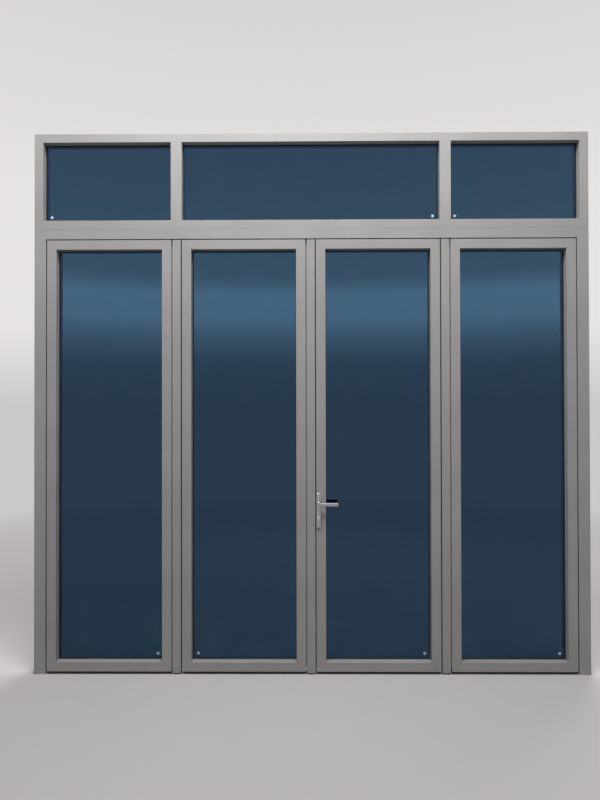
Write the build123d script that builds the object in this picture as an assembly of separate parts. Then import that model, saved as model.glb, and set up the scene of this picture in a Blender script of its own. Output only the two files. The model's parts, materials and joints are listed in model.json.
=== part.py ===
from build123d import *
import os

# Glazed entrance door set: four side-hung leaves in a door frame, with a frame of three fixed
# lights standing on top of it. All profiles are hollow powder-coated aluminium.
# Millimetres. +Z is up, X runs along the width, -Y is indoors and +Y is outdoors.
# The origin is on the floor, in the middle of the width and of the depth.
# Leaves are numbered from the left, as seen from indoors.

# Overall size and the profile family
overall_width = 3300.0
profile_depth = 74.0
wall = 2.0
edge_bevel = 0.8
cut_margin = 1.0

# Frame of fixed lights on top
top_frame_height = 570.0
top_frame_face = 51.0
mullion_face = 66.0
side_light_clear = 764.0

# Door frame under it
door_frame_height = 2650.0
jamb_face = 68.0
door_head_face = 61.0

# Leaves and the posts between them
outer_leaf_width = 743.5
leaf_face = 56.0
leaf_gap = 7.0
head_gap = 6.0
leaf_floor_gap = 17.0
post_face = 49.0
post_floor_gap = 9.0
post_leg_inset = 12.0
end_cap_height = 32.0
end_cap_plug = 8.0

# Flange that laps over the frame on the outdoor side
flange_reach = 20.0
flange_thickness = 12.0
flange_side_gap = 5.0
seal_gap = 4.5

# Glazing
box_depth = 44.0
pocket_depth = 18.0
glass_thickness = 10.0
glass_edge_gap = 4.0
inner_gasket = 4.0
outer_gasket = 3.0
gasket_show = 3.0
gasket_bite = 10.0
bead_bevel = 4.0
bead_wall = 1.6
block_length = 80.0

# Drain slots through the bottom members, outdoors and under the glass
drain_length = 28.0
drain_height = 5.0
drain_rise = 6.0
drain_from_clear = 60.0

# Seals
seal_width = 8.0
seal_clearance = 0.3
seal_inset = 3.0
sweep_thickness = 8.0
sweep_floor_gap = 2.0

# Hinges
hinge_height = 120.0
hinge_radius = 8.0
hinge_pin_radius = 4.0
hinge_pin_fit = 0.05
hinge_stand_off = 9.5
hinge_plate_width = 34.0
hinge_plate_thickness = 4.0
hinge_play = 0.3
hinge_from_end = 240.0

# Lever set on the third leaf
lever_height = 1016.0
lever_backset = 13.0
lever_length = 115.0
lever_bar_height = 20.0
lever_bar_thickness = 11.0
lever_bar_drop = 6.0
lever_bar_round = 4.0
lever_tip_bevel = 2.0
lever_neck_radius = 9.5
lever_neck_length = 27.0
lever_elbow_radius = 11.0
lever_elbow_bevel = 2.0
spindle_size = 8.0
spindle_grip = 22.0
plate_width = 24.0
plate_length = 203.0
plate_thickness = 8.0
plate_drop = 43.5
plate_round = 2.5
plate_bevel = 1.0
stile_hole_gap = 1.5
moving_gap = 0.3

# Cylinder and thumb-turn
cylinder_drop = 92.0
cylinder_radius = 8.5
cylinder_fin_width = 10.0
cylinder_height = 33.0
cylinder_stand_out = 3.0
turn_width = 27.0
turn_thickness = 17.0
turn_length = 15.0
turn_bevel = 1.5
turn_shaft_radius = 3.0
turn_shaft_length = 12.0
turn_shaft_fit = 0.05
key_slot_size = (1.6, 6.0, 9.0)

# Lock case, dead bolt and drive rail
case_length = 270.0
case_depth = 32.0
case_thickness = 18.0
case_y = -15.0
faceplate_width = 20.0
faceplate_length = 290.0
follower_radius = 6.0
dead_bolt_size = (24.5, 10.0, 30.0)
dead_bolt_rise = 30.0
rail_groove_width = 14.0
rail_groove_depth = 3.0
rail_groove_margin = 0.5
rail_thickness = 2.5
rail_from_end = 300.0
rail_travel = 18.0
rail_pin_radius = 4.0
rail_pin_reach = 5.8
rail_pin_from_end = 80.0
fork_width = 24.0
fork_wall = 8.0
fork_thickness = 2.5
strike_thickness = 3.0
strike_margin = 14.0

# Flush bolts in the posts
flush_bolt_size = (8.0, 10.0)
flush_bolt_inset = 12.0
flush_bolt_y = -8.0
flush_bolt_travel = 20.0
top_bolt_length = 580.0
bottom_bolt_length = 290.0
slider_width = 6.0
slider_height = 14.0
slider_proud = 2.5
slider_from_end = 30.0
keep_size = (44.0, 24.0, 2.5)

# Fixing holes in the door jambs
fixing_radius = 4.25
fixing_access_radius = 7.0
fixing_y = -8.0
fixing_from_end = 275.0
fixing_count = 4

# Places worked out from the sizes above
half_width = overall_width / 2
overall_height = door_frame_height + top_frame_height
inside = -profile_depth / 2
outside = profile_depth / 2
lip = inside + box_depth
glass_in = lip + inner_gasket
glass_out = glass_in + glass_thickness
bead_in = glass_out + outer_gasket
flange_in = outside - flange_thickness
rebate = flange_in - seal_gap
flange_lap = flange_reach - leaf_gap
post_step = flange_lap + flange_side_gap
jamb_step = jamb_face - flange_lap - flange_side_gap
head_step = door_head_face - (flange_reach - head_gap) - flange_side_gap
inner_leaf_width = half_width - jamb_face - outer_leaf_width - 1.5 * post_face - 4 * leaf_gap
leaf_top = door_frame_height - door_head_face - head_gap
leaf_bottom = leaf_floor_gap
jamb_inner = half_width - jamb_face
outer_leaf = (-jamb_inner + leaf_gap, -jamb_inner + leaf_gap + outer_leaf_width)
inner_leaf = (-post_face / 2 - leaf_gap - inner_leaf_width, -post_face / 2 - leaf_gap)
side_post_x = (outer_leaf[1] + inner_leaf[0]) / 2
mullion_x = half_width - top_frame_face - side_light_clear - mullion_face / 2
hinge_y = outside + hinge_stand_off
jamb_hinge_x = half_width - jamb_step - flange_side_gap / 2
lock_edge = -inner_leaf[1]
lever_x = lock_edge + lever_backset
cylinder_z = lever_height - cylinder_drop
plate_z = lever_height - plate_drop
rail_y = lip + rail_groove_margin + rail_groove_width / 2
rail_bottom = leaf_bottom + rail_from_end
rail_top = leaf_top - rail_from_end
leaf_spans = {
    "leaf_1": outer_leaf,
    "leaf_2": inner_leaf,
    "leaf_3": (-inner_leaf[1], -inner_leaf[0]),
    "leaf_4": (-outer_leaf[1], -outer_leaf[0]),
}


def spread(low, high, count):
    """Evenly spaced heights, the first and the last at the ends."""
    return [low + i * (high - low) / (count - 1) for i in range(count)]


hinge_heights = spread(leaf_bottom + hinge_from_end, leaf_top - hinge_from_end, 3)
rail_pin_heights = spread(rail_bottom + rail_pin_from_end, rail_top - rail_pin_from_end, 3)
fixing_heights = spread(fixing_from_end, door_frame_height - fixing_from_end, fixing_count)


def block(x0, x1, y0, y1, z0, z1):
    """A plain box between two corners."""
    centre = Pos((x0 + x1) / 2, (y0 + y1) / 2, (z0 + z1) / 2)
    return centre * Box(x1 - x0, y1 - y0, z1 - z0)


def rod(x, y, z0, z1, radius):
    """An upright round bar."""
    return Pos(x, y, (z0 + z1) / 2) * Cylinder(radius, z1 - z0)


def cross_bar(x, z, y0, y1, radius):
    """A round bar through the depth of the door."""
    return Pos(x, (y0 + y1) / 2, z) * Rot(90, 0, 0) * Cylinder(radius, y1 - y0)


def rect(u0, u1, y0, y1):
    """A rectangle of a profile's section: u across its face, y through its depth."""
    return Pos((u0 + u1) / 2, (y0 + y1) / 2) * Rectangle(u1 - u0, y1 - y0)


def chamber(u0, u1, y0, y1):
    """The hollow that a wall of even thickness leaves inside a rectangle."""
    return rect(u0 + wall, u1 - wall, y0 + wall, y1 - wall)


def outline(rects):
    """The outer shape of a section, with the corners of both faces bevelled."""
    shape = rect(*rects[0])
    for corners in rects[1:]:
        shape += rect(*corners)
    on_faces = [v for v in shape.vertices() if abs(abs(v.Y) - outside) < wall / 4]
    return chamfer(on_faces, edge_bevel)


def glazed_section(face, flange=False, groove=False):
    """A profile with a glazing pocket on its inner edge, and a flange if it laps a frame."""
    leg = face - pocket_depth
    rects = [(0, face, inside, lip), (0, leg, lip - wall, outside)]
    if flange:
        rects.append((-flange_reach, leg, flange_in, outside))
    section = outline(rects)
    section -= chamber(0, face, inside, lip)
    leg_start = rail_groove_depth if groove else 0
    section -= chamber(leg_start, leg, lip - wall, outside)
    if flange:
        section -= chamber(-flange_reach, leg, flange_in, outside)
    if groove:
        half = rail_groove_width / 2
        section -= rect(-wall, rail_groove_depth, rail_y - half, rail_y + half)
    return section


def stepped_section(face, step):
    """A door-frame profile, stepped back on the outdoor side for the leaf's flange."""
    section = outline([(0, face, inside, rebate), (0, step, rebate - wall, outside)])
    section -= chamber(0, face, inside, rebate)
    section -= chamber(0, step, rebate - wall, outside)
    return section


def mullion_section():
    """The upright between two fixed lights, with a pocket on each side."""
    half = mullion_face / 2
    leg = half - pocket_depth
    section = outline([(-half, half, inside, lip), (-leg, leg, lip - wall, outside)])
    section -= chamber(-half, half, inside, lip)
    section -= chamber(-leg, leg, lip - wall, outside)
    return section


def post_outline(rib_end):
    """The solid shape of a post between leaves: a box with a rib between the flanges."""
    box = (0, post_face, inside, rebate)
    rib = (post_step, rib_end, rebate - wall, outside)
    return outline([box, rib])


def post_section(rib_end):
    """A post's profile, with two legs that screw it to the edge of its own leaf."""
    section = post_outline(rib_end)
    section -= chamber(0, post_face, inside, rebate)
    section -= chamber(post_step, rib_end, rebate - wall, outside)
    for start in (inside + post_leg_inset, rebate - post_leg_inset):
        section += rect(-leaf_gap, wall, start, start + wall)
    return section


def bead_section():
    """A hollow glazing bead: it fills the pocket outside the glass, with a bevel at the glass."""
    depth = outside - bead_in
    shape = rect(0, pocket_depth, bead_in, outside)
    corner = shape.vertices().sort_by(Axis.X)[-2:].sort_by(Axis.Y)[-1]
    shape = chamfer(corner, bead_bevel)
    hollow = Pos(-bead_bevel / 4, 0) * rect(
        bead_wall, pocket_depth - bead_bevel, bead_in + bead_wall, bead_in + depth - bead_wall
    )
    return shape - hollow


def side_place(side, x0, x1, z0, z1):
    """Where a profile on one side of a rectangle lies: u points inwards from the outer edge."""
    places = {
        "left": Plane(origin=(x0, 0, z0), x_dir=(1, 0, 0), z_dir=(0, 0, 1)),
        "right": Plane(origin=(x1, 0, z1), x_dir=(-1, 0, 0), z_dir=(0, 0, -1)),
        "bottom": Plane(origin=(x1, 0, z0), x_dir=(0, 0, 1), z_dir=(-1, 0, 0)),
        "top": Plane(origin=(x0, 0, z1), x_dir=(0, 0, -1), z_dir=(1, 0, 0)),
    }
    length = z1 - z0 if side in ("left", "right") else x1 - x0
    return places[side], length


def square_bar(section, side, x0, x1, z0, z1):
    """A profile cut square at both ends."""
    place, length = side_place(side, x0, x1, z0, z1)
    return place * extrude(section, length)


def mitred_bar(section, side, corners, width, reach=0.0):
    """A profile cut at 45 degrees at both ends, to meet its neighbours of the same width."""
    place, length = side_place(side, *corners)
    stock = Pos(0, 0, -reach) * extrude(section, length + 2 * reach)
    trapezoid = make_face(
        Polyline(
            (-reach, -reach),
            (width, width),
            (width, length - width),
            (-reach, length + reach),
            close=True,
        )
    )
    cutter = extrude(Plane.XZ * trapezoid, profile_depth, both=True)
    return place * (stock & cutter)


def clear_opening(x0, x1, z0, z1, face):
    """The rectangle left inside a ring of profiles."""
    return x0 + face, x1 - face, z0 + face, z1 - face


def grown(corners, by):
    """A rectangle made larger on all four sides."""
    x0, x1, z0, z1 = corners
    return x0 - by, x1 + by, z0 - by, z1 + by


def slab(corners, y0, y1):
    """A flat sheet that covers a rectangle."""
    x0, x1, z0, z1 = corners
    return block(x0, x1, y0, y1, z0, z1)


def glass_pane(clear):
    """One sheet of glass, with its edges in the pockets."""
    return slab(grown(clear, pocket_depth - glass_edge_gap), glass_in, glass_out)


def gasket_rings(clear):
    """The rubber between the glass and the lip, and between the glass and the beads."""
    rings = []
    for y0, y1 in ((lip, glass_in), (glass_out, bead_in)):
        ring = slab(grown(clear, gasket_bite), y0, y1)
        ring -= slab(grown(clear, -gasket_show), y0 - cut_margin, y1 + cut_margin)
        rings.append(ring)
    return rings


def setting_blocks(clear):
    """The two blocks that carry the bottom edge of a sheet of glass."""
    x0, x1, z0, _ = clear
    bottom = z0 - pocket_depth
    blocks = []
    for share in (0.25, 0.75):
        x = x0 + share * (x1 - x0)
        left = x - block_length / 2
        blocks.append(
            block(left, left + block_length, glass_in, glass_out, bottom, bottom + glass_edge_gap)
        )
    return blocks


def drain_slots(clear, member_bottom):
    """Cutters for two slots out of the pocket's floor and two out of the face below them."""
    x0, x1, z0, _ = clear
    floor = z0 - pocket_depth
    low = member_bottom + drain_rise
    half = drain_length / 2
    cutters = []
    for x in (x0 + drain_from_clear, x1 - drain_from_clear):
        y0 = glass_in + wall
        y1 = glass_out - wall
        cutters.append(block(x - half, x + half, y0, y1, floor - wall, floor))
        y0 = outside - wall
        cutters.append(block(x - half, x + half, y0, outside, low, low + drain_height))
    return cutters


def bead_ring(clear):
    """Four glazing beads, mitred at the corners."""
    corners = grown(clear, pocket_depth)
    section = bead_section()
    return [mitred_bar(section, side, corners, pocket_depth) for side in sides]


def euro_profile(extra):
    """The round barrel and fin of a profile cylinder, as a face in X and Z."""
    radius = cylinder_radius + extra
    fin_radius = cylinder_fin_width / 2 + extra
    fin_end = cylinder_height - cylinder_radius - cylinder_fin_width / 2
    shape = Circle(radius)
    shape += Pos(0, -fin_end / 2) * Rectangle(2 * fin_radius, fin_end)
    shape += Pos(0, -fin_end) * Circle(fin_radius)
    return Plane(origin=(lever_x, 0, cylinder_z), x_dir=(1, 0, 0), z_dir=(0, -1, 0)) * shape


def save(name, solids):
    """Write one node to its own file."""
    shape = solids[0] if len(solids) == 1 else Compound(children=solids)
    export_step(shape, f"parts/{name}.step")


sides = ("left", "right", "bottom", "top")
os.makedirs("parts", exist_ok=True)


def top_clear_height():
    """Where the fixed lights' clear opening starts and ends."""
    return door_frame_height + top_frame_face, overall_height - top_frame_face


def top_clears():
    """The clear openings of the three fixed lights, from the left."""
    z0, z1 = top_clear_height()
    edge = half_width - top_frame_face
    near = mullion_x + mullion_face / 2
    far = mullion_x - mullion_face / 2
    return [(-edge, -near, z0, z1), (-far, far, z0, z1), (near, edge, z0, z1)]


def top_frame():
    """Four mitred profiles that stand on the door frame, and two mullions."""
    corners = (-half_width, half_width, door_frame_height, overall_height)
    section = glazed_section(top_frame_face)
    names = {
        "left": "top_jamb_left",
        "right": "top_jamb_right",
        "bottom": "top_sill",
        "top": "top_head",
    }
    bars = {}
    for side in sides:
        bars[side] = mitred_bar(section, side, corners, top_frame_face)
    for clear in top_clears():
        bars["bottom"] -= drain_slots(clear, door_frame_height)
    for side in sides:
        save(names[side], [bars[side]])


def top_mullions():
    """Two uprights, coped at both ends into the pockets of the sill and the head."""
    z0, z1 = top_clear_height()
    mullions = []
    for x in (-mullion_x, mullion_x):
        bar = Pos(x, 0, z0 - pocket_depth) * extrude(mullion_section(), z1 - z0 + 2 * pocket_depth)
        x0 = x - mullion_face
        x1 = x + mullion_face
        reach = pocket_depth + cut_margin
        bar -= block(x0, x1, inside - cut_margin, lip, z0 - reach, z0)
        bar -= block(x0, x1, inside - cut_margin, lip, z1, z1 + reach)
        mullions.append(bar)
    save("top_mullions", mullions)


def top_lights():
    """Three fixed panes with their gaskets, blocks and beads."""
    glass = []
    rubber = []
    beads = []
    for clear in top_clears():
        glass.append(glass_pane(clear))
        rubber += gasket_rings(clear) + setting_blocks(clear)
        beads += bead_ring(clear)
    save("top_light_glass", glass)
    save("top_light_gaskets", rubber)
    save("top_light_beads", beads)


def door_jambs():
    """The two uprights of the door frame, with their fixing holes."""
    section = stepped_section(jamb_face, jamb_step)
    for side in ("left", "right"):
        jamb = square_bar(section, side, -half_width, half_width, 0, door_frame_height)
        outward = -1 if side == "left" else 1
        for z in fixing_heights:
            outer = Pos(outward * half_width, fixing_y, z) * Rot(0, 90, 0)
            inner = Pos(outward * jamb_inner, fixing_y, z) * Rot(0, 90, 0)
            jamb -= outer * Cylinder(fixing_radius, 3 * wall)
            jamb -= inner * Cylinder(fixing_access_radius, 3 * wall)
        save(f"door_jamb_{side}", [jamb])


def post_bolt_places():
    """The x of the flush bolts in the left, centre and right post."""
    inset = post_face / 2 - flush_bolt_inset
    return {"left": side_post_x + inset, "centre": inset, "right": -side_post_x - inset}


def flat_bolt(x, z0, z1, gap=0.0):
    """The bar of a flush bolt, or the hole for it with a gap all round."""
    width, depth = flush_bolt_size
    half_x = width / 2 + gap
    half_y = depth / 2 + gap
    return block(x - half_x, x + half_x, flush_bolt_y - half_y, flush_bolt_y + half_y, z0, z1)


def door_head():
    """The member over the leaves, coped round the jambs, with a hole for each top bolt."""
    section = stepped_section(door_head_face, head_step)
    leg_end = half_width - jamb_step
    z0 = door_frame_height - door_head_face
    head = square_bar(section, "top", -leg_end, leg_end, z0, door_frame_height)
    far = leg_end + cut_margin
    for x0, x1 in ((-far, -jamb_inner), (jamb_inner, far)):
        head -= block(x0, x1, -profile_depth, rebate, 0, overall_height)
    for x in post_bolt_places().values():
        head -= flat_bolt(x, z0 - wall, z0 + 2 * wall, 2 * moving_gap)
    save("door_head", [head])


def head_bolt_keeps():
    """A holed plate under the door head for each top bolt."""
    top = door_frame_height - door_head_face
    width, depth, thickness = keep_size
    keeps = []
    for x in post_bolt_places().values():
        y0 = flush_bolt_y - depth / 2
        plate = block(x - width / 2, x + width / 2, y0, y0 + depth, top - thickness, top)
        keeps.append(plate - flat_bolt(x, top - 2 * thickness, top + thickness, moving_gap))
    save("head_bolt_keeps", keeps)


def frame_closing_seals():
    """Bulb seals on the stepped faces, which the leaves' flanges close against."""
    y1 = flange_in - seal_clearance
    edge = jamb_inner + seal_inset
    z0 = door_frame_height - door_head_face + seal_inset
    left = block(-edge - seal_width, -edge, rebate, y1, 0, z0)
    right = block(edge, edge + seal_width, rebate, y1, 0, z0)
    head = block(-edge - seal_width, edge + seal_width, rebate, y1, z0, z0 + seal_width)
    save("frame_closing_seals", [left, right, head])


def hinge_knuckle(x, z0, z1, towards):
    """One knuckle with the web that joins it to its plate."""
    barrel = rod(x, hinge_y, z0, z1, hinge_radius)
    web_end = x + towards * (hinge_radius + cut_margin)
    x0, x1 = sorted((x, web_end))
    return barrel + block(x0, x1, outside + hinge_play, hinge_y, z0, z1)


def hinge_plate(x, z, towards):
    """The flat plate of a hinge half."""
    near = x + towards * (hinge_radius + 2 * hinge_play)
    x0, x1 = sorted((near, near + towards * hinge_plate_width))
    half = hinge_height / 2
    return block(x0, x1, outside, outside + hinge_plate_thickness, z - half, z + half)


def fixed_hinge_half(x, z, towards):
    """The half with two knuckles, and the pin pressed into them."""
    half = hinge_height / 2
    third = hinge_height / 6
    part = hinge_plate(x, z, towards)
    part += hinge_knuckle(x, z - half, z - third, towards)
    part += hinge_knuckle(x, z + third, z + half, towards)
    return part + rod(x, hinge_y, z - half, z + half, hinge_pin_radius)


def moving_hinge_half(x, z, towards):
    """The half with one knuckle, which turns on the pin."""
    reach = hinge_height / 6 - hinge_play
    part = hinge_plate(x, z, towards)
    part += hinge_knuckle(x, z - reach, z + reach, towards)
    return part - rod(x, hinge_y, z - reach, z + reach, hinge_pin_radius + hinge_pin_fit)


def hinges():
    """Jamb hinges carry the outer leaves, and fold hinges carry the inner leaves on them."""
    fixed = []
    for x, towards in ((-jamb_hinge_x, -1), (jamb_hinge_x, 1)):
        fixed += [fixed_hinge_half(x, z, towards) for z in hinge_heights]
    save("jamb_hinge_halves", fixed)
    for name, sign in (("leaf_1", 1), ("leaf_4", -1)):
        halves = [moving_hinge_half(-sign * jamb_hinge_x, z, sign) for z in hinge_heights]
        halves += [fixed_hinge_half(sign * side_post_x, z, -sign) for z in hinge_heights]
        save(f"{name}_hinge_halves", halves)
    for name, sign in (("leaf_2", 1), ("leaf_3", -1)):
        halves = [moving_hinge_half(sign * side_post_x, z, sign) for z in hinge_heights]
        save(f"{name}_hinge_halves", halves)


def leaf_profiles(name):
    """A leaf's two stiles and two rails, mitred, with the cuts for the lock on leaf 3."""
    x0, x1 = leaf_spans[name]
    corners = (x0, x1, leaf_bottom, leaf_top)
    lock_side = "left" if name == "leaf_3" else ""
    low = x0 if lock_side else x0 - flange_reach
    high = x1 + flange_reach
    envelope = block(low, high, -profile_depth, profile_depth, leaf_bottom, leaf_top + flange_reach)
    bars = {}
    for side in sides:
        flange = side != "bottom" and side != lock_side
        section = glazed_section(leaf_face, flange, side == lock_side)
        bar = mitred_bar(section, side, corners, leaf_face, flange_reach)
        bars[side] = bar & envelope
    if lock_side:
        bars["left"] = cut_for_lock(bars["left"])
    clear = clear_opening(*corners, leaf_face)
    bars["bottom"] -= drain_slots(clear, leaf_bottom)
    save(f"{name}_stiles", [bars["left"], bars["right"]])
    save(f"{name}_rails", [bars["bottom"], bars["top"]])


def cut_for_lock(stile):
    """Openings in the lock stile for the faceplate, the spindle and the cylinder."""
    y0 = case_y - faceplate_width / 2
    z0 = plate_z - faceplate_length / 2
    x0 = lock_edge - cut_margin
    stile -= block(x0, lock_edge + wall, y0, y0 + faceplate_width, z0, z0 + faceplate_length)
    hole = lever_neck_radius + stile_hole_gap
    stile -= cross_bar(lever_x, lever_height, -profile_depth, profile_depth, hole)
    stile -= extrude(euro_profile(stile_hole_gap), profile_depth, both=True)
    return stile


def leaf_glazing(name):
    """A leaf's glass and beads."""
    x0, x1 = leaf_spans[name]
    clear = clear_opening(x0, x1, leaf_bottom, leaf_top, leaf_face)
    save(f"{name}_glass", [glass_pane(clear)])
    save(f"{name}_beads", bead_ring(clear))


def hinged_post_seal(sign):
    """The seal on a side post that the inner leaf's flange closes against."""
    x = side_post_x + post_face / 2 - seal_inset
    x0, x1 = sorted((sign * (x - seal_width), sign * x))
    z0 = post_floor_gap + end_cap_height
    return block(x0, x1, rebate, flange_in - seal_clearance, z0, leaf_top - end_cap_height)


def centre_post_seal():
    """The seal that fills the straight gap between the centre post and the lock stile."""
    x0 = post_face / 2
    x1 = x0 + leaf_gap - 2 * seal_clearance
    z0 = post_floor_gap + end_cap_height
    return block(x0, x1, outside - seal_width, outside, z0, leaf_top - end_cap_height)


def leaf_seals(name):
    """All the rubber of a leaf: gaskets, setting blocks, sweep and the seal on its post."""
    x0, x1 = leaf_spans[name]
    clear = clear_opening(x0, x1, leaf_bottom, leaf_top, leaf_face)
    rubber = gasket_rings(clear) + setting_blocks(clear)
    half = sweep_thickness / 2
    rubber.append(block(x0 + wall, x1 - wall, -half, half, sweep_floor_gap, leaf_bottom))
    if name == "leaf_1":
        rubber.append(hinged_post_seal(1))
    if name == "leaf_4":
        rubber.append(hinged_post_seal(-1))
    if name == "leaf_2":
        rubber.append(centre_post_seal())
    save(f"{name}_seals", rubber)


def slider_heights():
    """The height of the slider of a post's top bolt and of its bottom bolt."""
    top = leaf_top - top_bolt_length + slider_from_end
    bottom = post_floor_gap + bottom_bolt_length - slider_from_end
    return top, bottom


def slider_slot(x, towards, z0, z1):
    """The slot in a post's free side for a flush bolt's slider, with its travel."""
    x0, x1 = sorted((x, x + towards * (flush_bolt_inset + cut_margin)))
    half_y = slider_width / 2 + moving_gap
    half_z = slider_height / 2 + moving_gap
    y0 = flush_bolt_y - half_y
    return block(x0, x1, y0, flush_bolt_y + half_y, z0 - half_z, z1 + half_z)


def flush_bolt(x, towards, z0, z1, slider_z):
    """A flat bolt with a slider that stands out of the post's free side."""
    bolt = flat_bolt(x, z0, z1)
    x0, x1 = sorted((x, x + towards * (flush_bolt_inset + slider_proud)))
    half = slider_width / 2
    low = slider_z - slider_height / 2
    return bolt + block(x0, x1, flush_bolt_y - half, flush_bolt_y + half, low, low + slider_height)


def post_piece(x, towards, section, z0, z1):
    """An upright piece of a post, mirrored for a leaf that opens to the right."""
    piece = extrude(section, z1 - z0)
    if towards < 0:
        piece = mirror(piece, Plane.YZ)
    return Pos(x - towards * post_face / 2, 0, z0) * piece


def post_end_caps(name, x, towards, rib_end):
    """The moulded caps at both ends of a post, each plugged into it, with the bolt's hole."""
    caps = []
    inset = wall + moving_gap
    x0 = x - post_face / 2 + inset
    x1 = x + post_face / 2 - inset
    top_cap = leaf_top - end_cap_height
    bolt_x = post_bolt_places()[name]
    hole = flat_bolt(bolt_x, 0, door_frame_height, moving_gap)
    for low, plug in (
        (post_floor_gap, post_floor_gap + end_cap_height),
        (top_cap, top_cap - end_cap_plug),
    ):
        cap = post_piece(x, towards, post_outline(rib_end), low, low + end_cap_height)
        cap += block(x0, x1, inside + inset, rebate - inset, plug, plug + end_cap_plug)
        caps.append(cap - hole)
    save(f"meeting_post_{name}_end_caps", caps)


def post_bolts(name, towards):
    """The two flush bolts in a post, drawn back into its end caps."""
    x = post_bolt_places()[name]
    top_slider, bottom_slider = slider_heights()
    low = leaf_top - top_bolt_length
    high = post_floor_gap + bottom_bolt_length
    top_bolt = flush_bolt(x, towards, low, leaf_top, top_slider)
    bottom_bolt = flush_bolt(x, towards, post_floor_gap, high, bottom_slider)
    save(f"meeting_post_{name}_top_bolt", [top_bolt])
    save(f"meeting_post_{name}_bottom_bolt", [bottom_bolt])


def meeting_post(name, x, towards, rib_end):
    """A post with its caps and bolts: towards is +1 where its right side is free, or else -1."""
    z0 = post_floor_gap + end_cap_height
    z1 = leaf_top - end_cap_height
    post = post_piece(x, towards, post_section(rib_end), z0, z1)
    bolt_x = post_bolt_places()[name]
    top_slider, bottom_slider = slider_heights()
    post -= slider_slot(bolt_x, towards, top_slider, top_slider + flush_bolt_travel)
    post -= slider_slot(bolt_x, towards, bottom_slider - flush_bolt_travel, bottom_slider)
    if name == "centre":
        half = post_face / 2
        post -= bolt_mortise(half - 2 * wall, half + cut_margin, 2 * moving_gap)
    save(f"meeting_post_{name}", [post])
    post_end_caps(name, x, towards, rib_end)
    post_bolts(name, towards)


def bolt_mortise(x0, x1, gap):
    """The space of the dead bolt, from x0 to x1, with a gap all round."""
    _, width, height = dead_bolt_size
    z = cylinder_z + dead_bolt_rise
    y0 = case_y - width / 2 - gap
    return block(x0, x1, y0, y0 + width + 2 * gap, z - height / 2 - gap, z + height / 2 + gap)


def handle_plates():
    """The inside and outside plate, with holes for the lever's neck and the cylinder."""
    plates = []
    for sign in (-1, 1):
        y = sign * (outside + plate_thickness / 2)
        plate = Pos(lever_x, y, plate_z) * Box(plate_width, plate_thickness, plate_length)
        upright = plate.edges().filter_by(Axis.Y)
        plate = fillet(upright, plate_round)
        outer = plate.faces().sort_by(Axis.Y)[0 if sign < 0 else -1]
        plate = chamfer(outer.edges(), plate_bevel)
        hole = lever_neck_radius + moving_gap
        plate -= cross_bar(lever_x, lever_height, -profile_depth, profile_depth, hole)
        plate -= extrude(euro_profile(moving_gap), profile_depth, both=True)
        plates.append(plate)
    save("handle_plates", plates)


def lever(sign):
    """A lever: a round neck out of the plate, a wider elbow, and a flat bar from it to the tip."""
    neck_start = outside + wall
    bar_y = outside + plate_thickness + lever_neck_length
    y0, y1 = sorted((sign * neck_start, sign * bar_y))
    neck = cross_bar(lever_x, lever_height, y0, y1, lever_neck_radius)
    y0, y1 = sorted(sign * (bar_y + end * lever_bar_thickness / 2) for end in (-1, 1))
    elbow = cross_bar(lever_x, lever_height, y0, y1, lever_elbow_radius)
    neck += chamfer(elbow.edges().filter_by(GeomType.CIRCLE), lever_elbow_bevel)
    bar = Box(lever_length, lever_bar_thickness, lever_bar_height)
    bar = fillet(bar.edges().filter_by(Axis.X), lever_bar_round)
    for end in (0, -1):
        bar = chamfer(bar.faces().sort_by(Axis.X)[end].edges(), lever_tip_bevel)
    bar = Pos(lever_x + lever_length / 2, sign * bar_y, lever_height - lever_bar_drop) * bar
    y0, y1 = sorted((sign * outside, sign * (neck_start + spindle_grip)))
    half = spindle_size / 2
    bore = block(lever_x - half, lever_x + half, y0, y1, lever_height - half, lever_height + half)
    return neck + bar - bore


def lever_set():
    """Both levers and the square spindle that joins them."""
    save("inside_lever", [lever(-1)])
    save("outside_lever", [lever(1)])
    half = spindle_size / 2
    end = outside + wall + spindle_grip
    spindle = block(lever_x - half, lever_x + half, -end, end, lever_height - half, lever_height + half)
    save("lever_spindle", [spindle])


def lock_cylinder():
    """The profile cylinder, with a shaft bore inside and a key slot outside."""
    end = outside + plate_thickness + cylinder_stand_out
    body = extrude(euro_profile(0), end, both=True)
    bore = turn_shaft_radius + turn_shaft_fit
    body -= cross_bar(lever_x, cylinder_z, -end, -end + turn_shaft_length, bore)
    slot = Pos(lever_x, end, cylinder_z) * Box(*key_slot_size)
    save("lock_cylinder", [body - slot])


def thumb_turn():
    """An oval turn on the inside end of the cylinder."""
    end = outside + plate_thickness + cylinder_stand_out + moving_gap
    face = Plane(origin=(lever_x, -end, cylinder_z), x_dir=(0, 0, 1), z_dir=(0, -1, 0))
    turn = extrude(face * SlotOverall(turn_width, turn_thickness), turn_length)
    turn = chamfer(turn.faces().sort_by(Axis.Y)[0].edges(), turn_bevel)
    turn += cross_bar(lever_x, cylinder_z, -end, -end + turn_shaft_length, turn_shaft_radius)
    save("thumb_turn", [turn])


def lock_case():
    """The mortised lock: a case in the stile's hollow behind a flush faceplate."""
    x0 = lock_edge + wall
    z0 = plate_z - case_length / 2
    y0 = case_y - case_thickness / 2
    case = block(x0, x0 + case_depth, y0, y0 + case_thickness, z0, z0 + case_length)
    y0 = case_y - faceplate_width / 2
    z0 = plate_z - faceplate_length / 2
    case += block(lock_edge, x0, y0, y0 + faceplate_width, z0, z0 + faceplate_length)
    case -= cross_bar(lever_x, lever_height, inside, outside, follower_radius)
    case -= extrude(euro_profile(moving_gap), profile_depth, both=True)
    bolt_end = lock_edge + dead_bolt_size[0] + cut_margin
    case -= bolt_mortise(lock_edge - cut_margin, bolt_end, moving_gap)
    save("lock_case", [case])


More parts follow.
